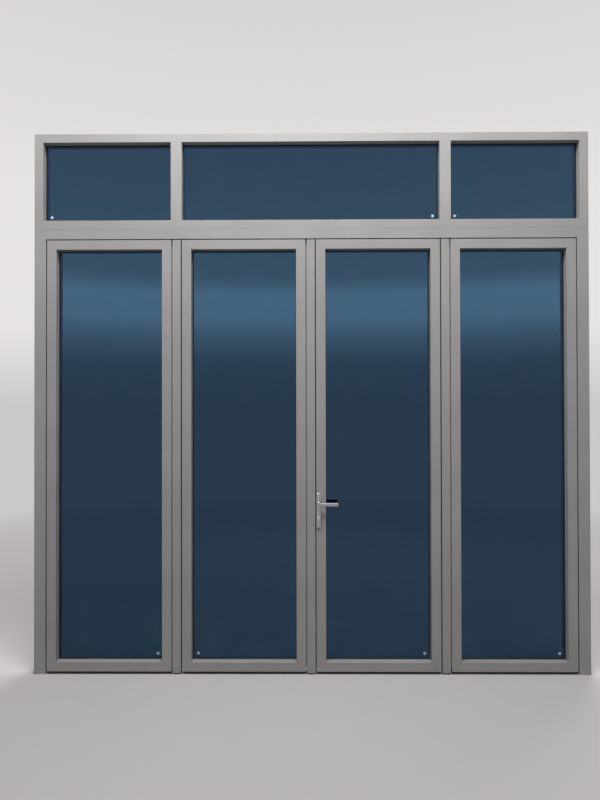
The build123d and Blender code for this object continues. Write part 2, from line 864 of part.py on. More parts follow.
def dead_bolt():
    """The bolt that the cylinder throws, drawn back flush with the faceplate."""
    bolt = bolt_mortise(lock_edge, lock_edge + dead_bolt_size[0], 0)
    save("dead_bolt", [bolt])


def drive_rail():
    """The rail in the groove of the lock stile, with a pin for each keep."""
    half = rail_groove_width / 2 - moving_gap
    x0 = lock_edge + rail_groove_depth - rail_thickness
    rail = block(x0, x0 + rail_thickness, rail_y - half, rail_y + half, rail_bottom, rail_top)
    for z in rail_pin_heights:
        length = rail_pin_reach + rail_groove_depth
        centre = Pos(lock_edge - rail_pin_reach + length / 2, rail_y, z)
        rail += centre * Rot(0, 90, 0) * Cylinder(rail_pin_radius, length)
    save("lock_drive_rail", [rail])


def centre_post_keeps():
    """A fork above each pin of the drive rail, and the strike plate of the dead bolt."""
    x0 = post_face / 2
    keeps = []
    slot = rail_pin_radius + 2 * moving_gap
    for z in rail_pin_heights:
        low = z + rail_pin_radius + cut_margin
        slot_top = z + rail_travel + slot
        y0 = rail_y - fork_width / 2
        fork = block(x0, x0 + fork_thickness, y0, y0 + fork_width, low, slot_top + fork_wall)
        fork -= block(x0, x0 + fork_thickness, rail_y - slot, rail_y + slot, low, slot_top)
        keeps.append(fork)
    _, _, height = dead_bolt_size
    z = cylinder_z + dead_bolt_rise
    y0 = case_y - faceplate_width / 2
    reach = height / 2 + strike_margin
    strike = block(x0, x0 + strike_thickness, y0, y0 + faceplate_width, z - reach, z + reach)
    strike -= bolt_mortise(x0, x0 + strike_thickness, moving_gap)
    keeps.append(strike)
    save("centre_post_keeps", keeps)


top_frame()
top_mullions()
top_lights()
door_jambs()
door_head()
head_bolt_keeps()
frame_closing_seals()
hinges()
for leaf in leaf_spans:
    leaf_profiles(leaf)
    leaf_glazing(leaf)
    leaf_seals(leaf)
meeting_post("left", side_post_x, 1, post_face - post_step)
meeting_post("centre", 0.0, 1, post_face)
meeting_post("right", -side_post_x, -1, post_face - post_step)
handle_plates()
lever_set()
lock_cylinder()
thumb_turn()
lock_case()
dead_bolt()
drive_rail()
centre_post_keeps()
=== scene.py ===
# %% [markdown]
# # Finishing a four-leaf glass entrance door
# The CAD model already has every profile, pane, hinge and lock part at its real size.
# This lesson gives those parts the finishes that the real ones have, adds the small parts
# that are easier to model here, and sets up the light and the camera.
# Blender works in metres, and every part is already where it belongs. X runs along the
# width, +Y is outdoors and +Z is up.
# %% Load the measured model
import json
import math
import bmesh
import bpy
from mathutils import Matrix, Vector

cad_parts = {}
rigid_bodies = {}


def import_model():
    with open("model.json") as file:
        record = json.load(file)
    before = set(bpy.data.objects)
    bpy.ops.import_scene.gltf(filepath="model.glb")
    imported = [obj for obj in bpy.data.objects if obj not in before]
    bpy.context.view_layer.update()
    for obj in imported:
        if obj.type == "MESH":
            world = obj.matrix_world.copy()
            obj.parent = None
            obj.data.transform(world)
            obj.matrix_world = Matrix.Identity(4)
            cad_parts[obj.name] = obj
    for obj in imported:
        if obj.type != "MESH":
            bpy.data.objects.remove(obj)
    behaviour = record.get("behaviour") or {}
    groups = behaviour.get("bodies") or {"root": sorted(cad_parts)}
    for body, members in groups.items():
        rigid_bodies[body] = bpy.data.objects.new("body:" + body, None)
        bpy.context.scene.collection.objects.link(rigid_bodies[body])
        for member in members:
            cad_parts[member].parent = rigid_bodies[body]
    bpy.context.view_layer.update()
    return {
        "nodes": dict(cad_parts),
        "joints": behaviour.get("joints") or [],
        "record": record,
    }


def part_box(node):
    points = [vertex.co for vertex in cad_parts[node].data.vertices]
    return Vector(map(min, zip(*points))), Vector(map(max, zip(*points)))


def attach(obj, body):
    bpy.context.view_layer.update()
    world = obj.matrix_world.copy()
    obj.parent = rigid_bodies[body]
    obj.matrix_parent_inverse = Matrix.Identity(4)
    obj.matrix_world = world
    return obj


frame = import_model()
mm = 0.001  # Blender's unit is a metre

# %% [markdown]
# ## Places on the door
# Small parts sit on the CAD parts, so their places are read from the CAD parts' boxes.
# Then a screw still lies on its plate if the plate has moved.
# %% Read the places
indoor_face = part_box("door_jamb_left")[0].y
outdoor_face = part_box("door_jamb_left")[1].y
glass_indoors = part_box("leaf_1_glass")[0].y
glass_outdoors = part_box("leaf_1_glass")[1].y
leaf_names = ["leaf_1", "leaf_2", "leaf_3", "leaf_4"]
glass_hidden_edge = 14 * mm


def shown_glass(low, high, hidden=glass_hidden_edge):
    """The rectangle of a pane that its frame leaves free: x0, x1, z0, z1."""
    return low.x + hidden, high.x - hidden, low.z + hidden, high.z - hidden


leaf_openings = {name: shown_glass(*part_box(name + "_glass")) for name in leaf_names}
lights_low, lights_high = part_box("top_light_glass")
mullions_low, mullions_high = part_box("top_mullions")
mullion_face = 66 * mm
x0, x1, z0, z1 = shown_glass(lights_low, lights_high)
top_openings = [
    (x0, mullions_low.x, z0, z1),
    (mullions_low.x + mullion_face, mullions_high.x - mullion_face, z0, z1),
    (mullions_high.x, x1, z0, z1),
]
print("depth:", round(outdoor_face - indoor_face, 4), "leaf 1 glass:", leaf_openings["leaf_1"])

# %% [markdown]
# ## Building a finish from nodes
# A finish is a Principled shader with a few patterns that change its colour, its gloss and
# its surface from place to place. Image textures could do that too, but patterns worked out
# by nodes stay sharp at any distance. Three short helpers start a finish, add a node to it,
# and join a pattern to the shader.
# %% Helpers that start a finish


def start_finish(name, **values):
    """A new material. Values are set on its shader's own sockets: base_color is Base Color."""
    finish = bpy.data.materials.new(name)
    finish.use_nodes = True
    shader = finish.node_tree.nodes["Principled BSDF"]
    for key, value in values.items():
        words = key.replace("_", " ").title().replace("Ior", "IOR")
        shader.inputs[words].default_value = value
    return finish


def add_node(owner, kind, inputs, **settings):
    """Add a node to a material or a world. Inputs are plain values or other nodes' outputs."""
    tree = owner.node_tree
    made = tree.nodes.new("ShaderNode" + kind)
    for key, value in settings.items():
        setattr(made, key, value)
    for key, value in inputs.items():
        if isinstance(value, bpy.types.NodeSocket):
            tree.links.new(value, made.inputs[key])
        else:
            made.inputs[key].default_value = value
    return made


def drive(finish, socket, source):
    """Let a pattern set one of the shader's sockets."""
    shader = finish.node_tree.nodes["Principled BSDF"]
    finish.node_tree.links.new(source, shader.inputs[socket])


print("ready to start finishes")

# %% [markdown]
# Patterns read Object coordinates, which are in metres, so a noise scale of 100 gives spots
# of about a centimetre. Each helper below is one step that every finish needs: where, how
# cloudy, which part of the range, how much of it, and which two colours it fades between.
# %% Helpers for patterns


def object_place(finish, stretch=(1, 1, 1)):
    """Object coordinates. A low stretch along an axis draws the pattern out along it."""
    place = add_node(finish, "TexCoord", {}).outputs["Object"]
    return add_node(finish, "Mapping", {"Vector": place, "Scale": stretch}).outputs["Vector"]


def noise(finish, place, scale, detail=2.0, rough=0.5):
    """Cloudy noise from 0 to 1, mostly near 0.5."""
    inputs = {"Vector": place, "Scale": scale, "Detail": detail, "Roughness": rough}
    return add_node(finish, "TexNoise", inputs).outputs["Fac"]


def spread(owner, amount, start, end, low=0.0, high=1.0):
    """Turn the part of a pattern between start and end into values from low to high."""
    inputs = {"Value": amount, "From Min": start, "From Max": end, "To Min": low, "To Max": high}
    return add_node(owner, "MapRange", inputs).outputs["Result"]


def combine(owner, how, first, second):
    """Join two patterns by MULTIPLY, ADD or MAXIMUM."""
    return add_node(owner, "Math", {0: first, 1: second}, operation=how).outputs[0]


def times(finish, first, second):
    """Multiply two patterns."""
    return combine(finish, "MULTIPLY", first, second)


def mix_colours(owner, amount, first, second):
    """Fade from the first colour to the second."""
    made = add_node(owner, "Mix", {0: amount, 6: first, 7: second}, data_type="RGBA")
    return made.outputs[2]


print("pattern helpers ready")

# %% [markdown]
# Three more helpers know about the part itself: how high a point is, how its surface is
# raised, and where its outer edges are. A CAD edge is perfectly sharp, and a real one never
# is, so the Bevel node rounds it in the shading alone, and the same node finds the edges
# that the finishes paint lighter, partly as wear and partly as a painted highlight.
# %% Helpers for height, relief and edges


def height_above_floor(finish):
    """The height of the shaded point on the closed door, in metres."""
    place = add_node(finish, "TexCoord", {}).outputs["Object"]
    return add_node(finish, "SeparateXYZ", {"Vector": place}).outputs["Z"]


def relief(finish, height, depth, edge_round=0.0):
    """Raise the surface by a pattern, and soften its edges by a radius."""
    inputs = {"Height": height, "Distance": depth, "Strength": 1.0}
    if edge_round:
        rounded = add_node(finish, "Bevel", {"Radius": edge_round}, samples=4)
        inputs["Normal"] = rounded.outputs["Normal"]
    drive(finish, "Normal", add_node(finish, "Bump", inputs).outputs["Normal"])


def edge_amount(finish, width):
    """1 along the outer edges of a part and 0 on its flats."""
    rounded = add_node(finish, "Bevel", {"Radius": width}, samples=4).outputs["Normal"]
    flat = add_node(finish, "NewGeometry", {}).outputs["Normal"]
    alike = add_node(finish, "VectorMath", {0: rounded, 1: flat}, operation="DOT_PRODUCT")
    return spread(finish, alike.outputs["Value"], 0.999, 0.85)


print("surface helpers ready")

# %% [markdown]
# ## Powder-coated aluminium
# The profiles are coated with a warm grey powder that is baked on. Up close such a coat has
# a soft orange-peel surface with a fine grain, and its colour hardly changes. Its edges are
# a little lighter, partly as wear and partly as a painted highlight, and the feet collect some
# pale dust. A metal shader would be wrong: the powder covers the metal, so light only ever
# meets the coat.
# %% Make the powder coat
pale_dust = (0.42, 0.39, 0.35, 1.0)
dust_height = 0.16


def shade_of(colour, share):
    """A colour made darker or lighter, with its alpha."""
    return [share * c for c in colour[:3]] + [1.0]


def powder_coat(name, grey, peel_scale):
    """A satin powder coat of one grey."""
    coat = start_finish(name, metallic=0.0, ior=1.5)
    place = object_place(coat)
    cloud = spread(coat, noise(coat, place, 3.0, 3.0), 0.3, 0.7)
    grain = spread(coat, noise(coat, place, 900.0, 1.0), 0.35, 0.65)
    colour = mix_colours(coat, cloud, shade_of(grey, 0.94), shade_of(grey, 1.05))
    flecks = times(coat, grain, 0.12)
    colour = mix_colours(coat, flecks, colour, shade_of(grey, 0.6))
    # Lighter edges: partly wear, partly a painted highlight.
    edge_wear_and_highlight = times(coat, edge_amount(coat, 1.2 * mm), 0.3)
    colour = mix_colours(coat, edge_wear_and_highlight, colour, shade_of(grey, 1.35))
    low_down = spread(coat, height_above_floor(coat), dust_height, 0.0)
    patches = spread(coat, noise(coat, place, 14.0, 4.0), 0.42, 0.62)
    dust = times(coat, low_down, patches)
    colour = mix_colours(coat, times(coat, dust, 0.12), colour, pale_dust)
    drive(coat, "Base Color", colour)
    smears = spread(coat, noise(coat, place, 6.0, 5.0, 0.7), 0.3, 0.75, 0.38, 0.52)
    drive(coat, "Roughness", smears)
    relief(coat, noise(coat, place, peel_scale, 2.0), 0.03 * mm, 0.6 * mm)
    return coat


frame_grey = (0.254, 0.25, 0.247)
profile_coat = powder_coat("warm grey powder coat", frame_grey, 700.0)
hinge_coat = powder_coat("hinge powder coat", [0.96 * c for c in frame_grey], 1100.0)
print("made", profile_coat.name, "and", hinge_coat.name)

# %% [markdown]
# ## Moulded end caps
# The caps at the ends of the posts are moulded in plastic to match the coat, and come out a
# little cooler and duller. The mould was etched, which leaves a fine even texture.
# %% Make the cap plastic
plastic_dark, plastic_light = (0.222, 0.228, 0.238, 1.0), (0.24, 0.247, 0.257, 1.0)
# A lighter grey for the edges: partly wear, partly a painted highlight.
plastic_wear_and_highlight = (0.34, 0.35, 0.36, 1.0)


def cap_plastic():
    """Fine-textured moulded plastic."""
    plastic = start_finish("moulded grey plastic", specular_ior_level=0.4, ior=1.46)
    place = object_place(plastic)
    cloud = spread(plastic, noise(plastic, place, 25.0, 2.0), 0.35, 0.65)
    colour = mix_colours(plastic, cloud, plastic_dark, plastic_light)
    # Edges painted lighter: partly wear, partly a painted highlight.
    rubbed = times(plastic, edge_amount(plastic, 1.0 * mm), 0.45)
    colour = mix_colours(plastic, rubbed, colour, plastic_wear_and_highlight)
    drive(plastic, "Base Color", colour)
    drive(plastic, "Roughness", spread(plastic, cloud, 0.0, 1.0, 0.55, 0.68))
    etched = noise(plastic, place, 1400.0, 3.0, 0.7)
    relief(plastic, etched, 0.04 * mm, 0.8 * mm)
    return plastic


grey_plastic = cap_plastic()
print("made", grey_plastic.name)

# %% [markdown]
# ## Dark blue glass
# The panes are toughened glass, tinted navy and with a coating that mirrors some blue light.
# Seen from the brighter side they look dark, and mirror that side. A tint comes from a dark
# base colour with full transmission, and the blue mirror from a raised, tinted specular
# level. Toughening leaves a slight wave in the surface. A thin film of dust and dried drops
# gets thicker low down, and there the shader fades from clear glass to matt grey dust.
# %% Make the glass
navy = (0.02, 0.036, 0.075, 1.0)
blue_mirror = (0.28, 0.68, 1.0, 1.0)
glass_dust = (0.5, 0.5, 0.48, 1.0)


def tinted_glass():
    """Navy glass with a slight wave, and a film of dust that is thicker low down."""
    glass = start_finish(
        "navy coated glass",
        ior=1.75,
        specular_ior_level=1.0,
        specular_tint=blue_mirror,
    )
    place = object_place(glass)
    smears = spread(glass, noise(glass, place, 9.0, 5.0, 0.65), 0.52, 0.8)
    low_down = spread(glass, height_above_floor(glass), 0.5, 0.07, 0.15, 1.0)
    spots = add_node(glass, "TexVoronoi", {"Vector": place, "Scale": 60.0, "Randomness": 1.0})
    dried = spread(glass, spots.outputs["Distance"], 0.16, 0.06)
    film = times(glass, smears, low_down)
    dust = times(glass, film, 0.10)
    marks = times(glass, times(glass, dried, film), 0.35)
    dirt = combine(glass, "ADD", dust, marks)
    drive(glass, "Base Color", mix_colours(glass, dirt, navy, glass_dust))
    drive(glass, "Transmission Weight", spread(glass, dirt, 0.0, 1.0, 1.0, 0.0))
    drive(glass, "Roughness", spread(glass, dirt, 0.0, 0.3, 0.004, 0.25))
    relief(glass, noise(glass, object_place(glass, (1, 1, 0.5)), 4.0, 1.0), 0.12 * mm)
    return glass


navy_glass = tinted_glass()
print("made", navy_glass.name)

# %% [markdown]
# ## Black rubber
# Gaskets, sweeps and closing seals are black rubber. Rubber is dull, picks up a grey bloom
# where it is old or dusty, and shows fine lines along the way it was pressed out.
# %% Make the rubber
new_rubber, old_rubber = (0.011, 0.011, 0.013, 1.0), (0.032, 0.031, 0.031, 1.0)


def seal_rubber():
    """Dull black rubber with a patchy grey bloom."""
    rubber = start_finish("black seal rubber", specular_ior_level=0.35)
    place = object_place(rubber)
    bloom = spread(rubber, noise(rubber, place, 40.0, 4.0), 0.45, 0.75)
    drive(rubber, "Base Color", mix_colours(rubber, bloom, new_rubber, old_rubber))
    drive(rubber, "Roughness", spread(rubber, bloom, 0.0, 1.0, 0.5, 0.8))
    relief(rubber, noise(rubber, place, 1800.0, 2.0), 0.03 * mm, 0.5 * mm)
    return rubber


black_rubber = seal_rubber()
print("made", black_rubber.name)

# %% [markdown]
# ## Brushed and plated metal
# The levers and plates are satin metal, brushed along their length. Stretched noise gives
# the fine scratches: it changes quickly across them and slowly along them. The thumb-turn
# is polished, the cylinder is brass under satin nickel, and bolts and screws are zinc-plated
# steel, which looks cloudy. The parts that face each other in the gap beside the centre post
# are black-passivated, and their near-black colour also paints the shade of that gap. One
# recipe makes all of them from their colours, their gloss and the way of their scratches.
# %% Make the recipe for metal
# Colour of the edges: partly wear, partly a painted highlight.
wear_and_highlight_colour = (0.86, 0.85, 0.83, 1.0)


def bare_metal(name, dark, light, stretch, gloss, scratch, edge_round=0.6 * mm, edge_wear_and_highlight=0.5):
    """Metal with scratches along one way, clouds in its colour, and lighter edges: wear and
    painted highlight.
    """
    metal = start_finish(name, metallic=1.0)
    place = object_place(metal)
    clouds = spread(metal, noise(metal, place, 55.0, 3.0, 0.6), 0.35, 0.65)
    scratches = noise(metal, object_place(metal, stretch), 900.0, 3.0, 0.6)
    dark, light = shade_of(dark, 1), shade_of(light, 1)
    colour = mix_colours(metal, clouds, dark, light)
    fine = times(metal, spread(metal, scratches, 0.4, 0.6), 0.18)
    colour = mix_colours(metal, fine, colour, shade_of(dark, 0.7))
    # Edges painted lighter: partly wear, partly a painted highlight.
    bright = times(metal, edge_amount(metal, 0.8 * mm), edge_wear_and_highlight)
    colour = mix_colours(metal, bright, colour, wear_and_highlight_colour)
    drive(metal, "Base Color", colour)
    rubbed = spread(metal, noise(metal, place, 30.0, 5.0, 0.7), 0.35, 0.7)
    drive(metal, "Roughness", spread(metal, rubbed, 0.0, 1.0, gloss, gloss + 0.12))
    relief(metal, scratches, scratch, edge_round)
    return metal


print("metal recipe ready")

# %% [markdown]
# A low stretch along an axis draws the scratches out along it. The lever's metal is darker
# and duller than the plates', and its edges get little of the lighter wear and painted highlight.
# %% Make the six metals
along_x, along_y, along_z = (0.05, 1, 1), (1, 0.05, 1), (1, 1, 0.05)
slightly_along_z = (1, 1, 0.3)
lever_metal = bare_metal(
    "satin metal brushed along the lever",
    dark=(0.328, 0.324, 0.342),
    light=(0.39, 0.385, 0.406),
    stretch=along_x,
    gloss=0.62,
    scratch=0.01 * mm,
    edge_wear_and_highlight=0.1,
)
plate_metal = bare_metal(
    "satin metal brushed upright",
    dark=(0.395, 0.39, 0.402),
    light=(0.47, 0.463, 0.478),
    stretch=along_z,
    gloss=0.4,
    scratch=0.01 * mm,
)
turn_metal = bare_metal(
    "polished metal of the thumb-turn",
    dark=(0.62, 0.61, 0.6),
    light=(0.75, 0.74, 0.72),
    stretch=along_y,
    gloss=0.14,
    scratch=0.004 * mm,
    edge_round=3 * mm,
)
cylinder_metal = bare_metal(
    "nickelled brass",
    dark=(0.55, 0.52, 0.46),
    light=(0.66, 0.63, 0.57),
    stretch=along_y,
    gloss=0.24,
    scratch=0.006 * mm,
)
zinc_steel = bare_metal(
    "zinc-plated steel",
    dark=(0.42, 0.43, 0.44),
    light=(0.58, 0.58, 0.57),
    stretch=slightly_along_z,
    gloss=0.33,
    scratch=0.008 * mm,
)
# Near black: a black finish that also paints the shade in the gap beside the centre post.
gap_shade_steel = bare_metal(
    "black-passivated steel with painted gap shade",
    dark=(0.045, 0.045, 0.048),
    light=(0.075, 0.074, 0.076),
    stretch=slightly_along_z,
    gloss=0.42,
    scratch=0.008 * mm,
    edge_wear_and_highlight=0.06,
)
print("made six metals")

# %% [markdown]
# ## Dressing the CAD parts
# The record says which finish each CAD part takes. A part keeps its mesh, and only the
# material in its slot changes. A few parts share a slot with others but are brushed another
# way, polished or blackened, so they are dressed by name.
# %% Dress every part
finish_of_slot = {
    "coated_aluminium": profile_coat,
    "hinge_aluminium": hinge_coat,
    "grey_plastic": grey_plastic,
    "tinted_glass": navy_glass,
    "black_rubber": black_rubber,
    "satin_handle_metal": plate_metal,
    "nickelled_brass": cylinder_metal,
    "plain_steel": zinc_steel,
}
finish_of_part = {
    "inside_lever": lever_metal,
    "outside_lever": lever_metal,
    "thumb_turn": turn_metal,
    "centre_post_keeps": gap_shade_steel,
    "lock_case": gap_shade_steel,
    "lock_drive_rail": gap_shade_steel,
}
for part in frame["record"]["subparts"]:
    name = part["node"]
    finish = finish_of_part.get(name, finish_of_slot[part["material_slot"]])
    for place in frame["nodes"][name].material_slots:
        place.material = finish

# %% [markdown]
# ## Adding a small part
# Each small part is shaped in a bmesh, which holds a mesh while it is being worked on. When
# it is done, it becomes an object that rides on a moving group of the door, so that a screw
# in a leaf swings with the leaf.
# %% Helpers that add a part
sharp_angle = 0.6


def as_mesh(name, shape):
    """Turn a finished bmesh into a mesh."""
    mesh = bpy.data.meshes.new(name)
    shape.to_mesh(mesh)
    shape.free()
    return mesh


def add_part(name, shape, body, finish):
    """Turn a finished bmesh into an object that rides on a body."""
    bmesh.ops.recalc_face_normals(shape, faces=shape.faces)
    mesh = as_mesh(name, shape)
    mesh.materials.append(finish)
    part = bpy.data.objects.new(name, mesh)
    bpy.context.scene.collection.objects.link(part)
    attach(part, body)
    print(name, "faces:", len(mesh.polygons))
    return part


def smooth(part):
    """Shade a part smooth, except where its faces meet at a sharp angle."""
    part.data.shade_smooth()
    part.data.set_sharp_from_angle(angle=sharp_angle)


print("ready to add parts")

# %% [markdown]
# Parts that repeat are shaped once and copied to many places. A place is a matrix that says
# where a copy goes and how it is turned.
# %% Helpers that repeat a shape
OUTDOORS, INDOORS = (0, 1, 0), (0, -1, 0)
LEFT, RIGHT, DOWN, UP = (-1, 0, 0), (1, 0, 0), (0, 0, -1), (0, 0, 1)


def joined(meshes):
    """One bmesh made of several meshes, which are used up."""
    shape = bmesh.new()
    for mesh in meshes:
        shape.from_mesh(mesh)
        bpy.data.meshes.remove(mesh)
    return shape


def repeated(template, places):
    """One bmesh with a copy of the template at each place."""
    copies = []
    for place in places:
        copy = template.copy()
        copy.transform(place)
        copies.append(copy)
    return joined(copies)


def facing(x, y, z, direction):
    """A place whose own Z axis points in the given direction."""
    turn = Vector(direction).to_track_quat("Z", "Y").to_matrix().to_4x4()
    return Matrix.Translation((x, y, z)) @ turn


print("ready to repeat shapes")

# %% [markdown]
# Two steps come up again and again. Real edges are never sharp, so most parts get rounded
# ones. And a recess or a hood is one face that is pushed in, with new sides behind it.
# %% Helpers that shape


def round_edges(shape, edges, radius, steps=3):
    """Round some edges of a shape."""
    bmesh.ops.bevel(
        shape, geom=edges, offset=radius, affect="EDGES", segments=steps, profile=0.5, material=-1
    )


def push_face(shape, face, way):
    """Push a face along a vector, with new sides behind it. Returns its new corners."""
    pushed = bmesh.ops.extrude_face_region(shape, geom=[face])
    corners = [v for v in pushed["geom"] if isinstance(v, bmesh.types.BMVert)]
    bmesh.ops.delete(shape, geom=[face], context="FACES_ONLY")
    bmesh.ops.translate(shape, verts=corners, vec=way)
    return corners


print("ready to shape")

# %% [markdown]
# ## Screws
# Hinge plates, lock plates and keeps are held by countersunk screws. Their heads are low
# domes with a cross recess. A short cone gives the head, and its top is inset. Three of
# every four corners of the inset are pulled in to draw the cross, which is pushed down.
# %% Shape a screw head
screw_sides = 16
head_rise, head_taper, rim_width, rim_rise = 0.16, 0.86, 0.26, 0.02  # shares of the radius
arm_share = 0.3
recess_depth, recess_taper = 1.4, 0.6  # shares of the head's rise and of its width


def screw_head(radius):
    """The visible head of a countersunk screw, rising out of the XY plane."""
    shape = bmesh.new()
    height = head_rise * radius
    bmesh.ops.create_cone(
        shape,
        cap_ends=True,
        segments=screw_sides,
        radius1=radius,
        radius2=head_taper * radius,
        depth=2 * height,
    )
    top = max(shape.faces, key=lambda face: face.calc_center_median().z)
    bmesh.ops.inset_region(
        shape, faces=[top], thickness=rim_width * radius, depth=rim_rise * radius
    )
    corners = sorted(top.verts, key=lambda v: math.atan2(v.co.y, v.co.x))
    for index, corner in enumerate(corners):
        if index % 4:
            corner.co.x *= arm_share
            corner.co.y *= arm_share
    floor = push_face(shape, top, (0, 0, -recess_depth * height))
    bmesh.ops.scale(shape, verts=floor, vec=(recess_taper, recess_taper, 1))
    return as_mesh("screw head", shape)


wide_head = screw_head(4.2 * mm)
small_head = screw_head(3.0 * mm)
print("screw head faces:", len(wide_head.polygons))

# %% [markdown]
# Three hinges share each line, and each of their two plates has four screws. The plate on
# one side swings with the joint's child, and the plate on the other side with its parent.
# %% Set the hinge screws
hinge_heights = (0.257, 1.3, 2.343)
hinge_gap = 8.6 * mm
hinge_plate_thickness = 4 * mm
screw_pattern = ((9 * mm, 0.045), (25 * mm, 0.027), (9 * mm, -0.027), (25 * mm, -0.045))
hinged_joints = ("leaf_1_swing", "leaf_2_fold", "leaf_3_fold", "leaf_4_swing")
hinge_lines = {}
for joint in frame["joints"]:
    if joint["name"] in hinged_joints:
        hinge_lines[joint["name"]] = (joint["pos_m"][0], joint["parent"], joint["child"])


def hinge_screw_places(axis_x, side):
    """Four screws in each plate on one side of a line of hinges."""
    y = outdoor_face + hinge_plate_thickness
    places = []
    for height in hinge_heights:
        for across, up in screw_pattern:
            x = axis_x + side * (hinge_gap + across)
            places.append(facing(x, y, height + up, OUTDOORS))
    return places


hinge_screws = {}
for axis_x, parent, child in hinge_lines.values():
    child_side = 1 if axis_x < 0 else -1
    hinge_screws.setdefault(parent, []).extend(hinge_screw_places(axis_x, -child_side))
    hinge_screws.setdefault(child, []).extend(hinge_screw_places(axis_x, child_side))
for body, places in hinge_screws.items():
    add_part(body + "_hinge_screws", repeated(wide_head, places), body, zinc_steel)

# %% [markdown]
# ## Hinge caps
# A plastic cap closes each end of a hinge's barrel and hides the pin. It is a small domed
# disc: a half outline turned once round the axis by spin.
# %% Turn the caps
hinge_reach = 60 * mm
barrel_y = frame["joints"][0]["pos_m"][1]


def turned(outline, steps):
    """Turn an outline of (radius, height) points, in millimetres, round the Z axis."""
    shape = bmesh.new()
    points = [shape.verts.new((radius * mm, 0, height * mm)) for radius, height in outline]
    edges = [shape.edges.new(pair) for pair in zip(points, points[1:])]
    bmesh.ops.spin(
        shape,
        geom=points + edges,
        cent=(0, 0, 0),
        axis=(0, 0, 1),
        angle=2 * math.pi,
        steps=steps,
        use_merge=True,
    )
    bmesh.ops.remove_doubles(shape, verts=shape.verts, dist=1e-6)
    return shape


cap_outline = ((0, 2.6), (4, 2.3), (7, 1.4), (8.3, 0.3), (8.3, -1.2), (0, -1.2))
hinge_cap = as_mesh("hinge cap", turned(cap_outline, 20))
for joint_name, (axis_x, parent, child) in hinge_lines.items():
    places = []
    for height in hinge_heights:
        places.append(facing(axis_x, barrel_y, height + hinge_reach, UP))
        places.append(facing(axis_x, barrel_y, height - hinge_reach, DOWN))
    caps = repeated(hinge_cap, places)
    smooth(add_part(joint_name + "_hinge_caps", caps, parent, grey_plastic))

# %% [markdown]
# ## Gasket lips
# The rubber that holds a pane shows as a narrow rounded lip all round, on both sides. The
# ring is drawn as one rectangle with an inset, the middle is cut away, the ring is given its
# depth and its front edges are rounded.
# %% Shape the lips
lip_width, lip_proud, lip_round = 3.8 * mm, 0.6 * mm, 1.4 * mm
gasket_indoors, gasket_outdoors = 4 * mm, 3 * mm


def lip_ring(opening, front, back):
    """A rubber lip round one opening, from its front to the glass."""
    x0, x1, z0, z1 = opening
    shape = bmesh.new()
    bmesh.ops.create_grid(shape, x_segments=1, y_segments=1, size=0.5)
    bmesh.ops.scale(shape, verts=shape.verts, vec=(x1 - x0, z1 - z0, 1))
    centre = Matrix.Translation(((x0 + x1) / 2, front, (z0 + z1) / 2))
    place = centre @ Matrix.Rotation(math.pi / 2, 4, "X")
    bmesh.ops.transform(shape, matrix=place, verts=shape.verts)
    middle = shape.faces[:]
    bmesh.ops.inset_region(
        shape, faces=middle, thickness=lip_width, use_boundary=True, use_even_offset=True
    )
    bmesh.ops.delete(shape, geom=middle, context="FACES")
    front_edges = [e for e in shape.edges if len(e.link_faces) == 1]
    ring = bmesh.ops.extrude_face_region(shape, geom=shape.faces[:], use_keep_orig=True)
    moved = [v for v in ring["geom"] if isinstance(v, bmesh.types.BMVert)]
    bmesh.ops.translate(shape, verts=moved, vec=(0, back - front, 0))
    round_edges(shape, front_edges, lip_round)
    return shape


def add_lips(name, openings, body):
    """The indoor and the outdoor lip of every opening, as one part."""
    front_indoors = glass_indoors - gasket_indoors - lip_proud
    front_outdoors = glass_outdoors + gasket_outdoors + lip_proud
    rings = []
    for opening in openings:
        rings.append(as_mesh("lip", lip_ring(opening, front_indoors, glass_indoors)))
        rings.append(as_mesh("lip", lip_ring(opening, front_outdoors, glass_outdoors)))
    smooth(add_part(name, joined(rings), body, black_rubber))


for name, opening in leaf_openings.items():
    add_lips(name + "_gasket_lips", [opening], name)
add_lips("top_light_gasket_lips", top_openings, "frame")

# %% [markdown]
# ## Ends of the centre seal
# The long seal between the centre post and the lock leaf stops at the post's end caps. A
# moulded rubber block carries it on, up to the leaf's top and down to the floor, so that no
# light comes through there. It is a box with rounded edges, cut into bands, and every other
# band of its narrow indoor side is sunk, which leaves ribs between.
# %% Shape the seal ends
post_low, post_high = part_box("meeting_post_centre")
seal_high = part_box("leaf_2_seals")[1]
seal_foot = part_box("leaf_2_seals")[0].z
leaf_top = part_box("leaf_3_stiles")[1].z
seal_depth, seal_round = 8 * mm, 0.8 * mm
rib_bands, band_edge, band_depth = 7, 0.3 * mm, 0.6 * mm
smallest_band = 1 * mm * mm


def seal_end(z0, z1):
    """A ribbed rubber block in the gap beside the centre post, from z0 to z1."""
    low = Vector((post_high.x, seal_high.y - seal_depth, z0))
    high = Vector((seal_high.x, seal_high.y, z1))
    shape = bmesh.new()
    bmesh.ops.create_cube(shape, size=1)
    bmesh.ops.scale(shape, verts=shape.verts, vec=high - low)
    bmesh.ops.translate(shape, verts=shape.verts, vec=(low + high) / 2)
    round_edges(shape, shape.edges[:], seal_round)
    for band in range(1, rib_bands):
        cut = (0, 0, z0 + (z1 - z0) * band / rib_bands)
        whole = shape.verts[:] + shape.edges[:] + shape.faces[:]
        bmesh.ops.bisect_plane(shape, geom=whole, plane_co=cut, plane_no=UP)
    indoor = [f for f in shape.faces if f.normal.y < -0.99 and f.calc_area() > smallest_band]
    hollows = sorted(indoor, key=lambda f: f.calc_center_median().z)[1::2]
    bmesh.ops.inset_individual(shape, faces=hollows, thickness=band_edge, depth=-band_depth)
    return as_mesh("seal end", shape)


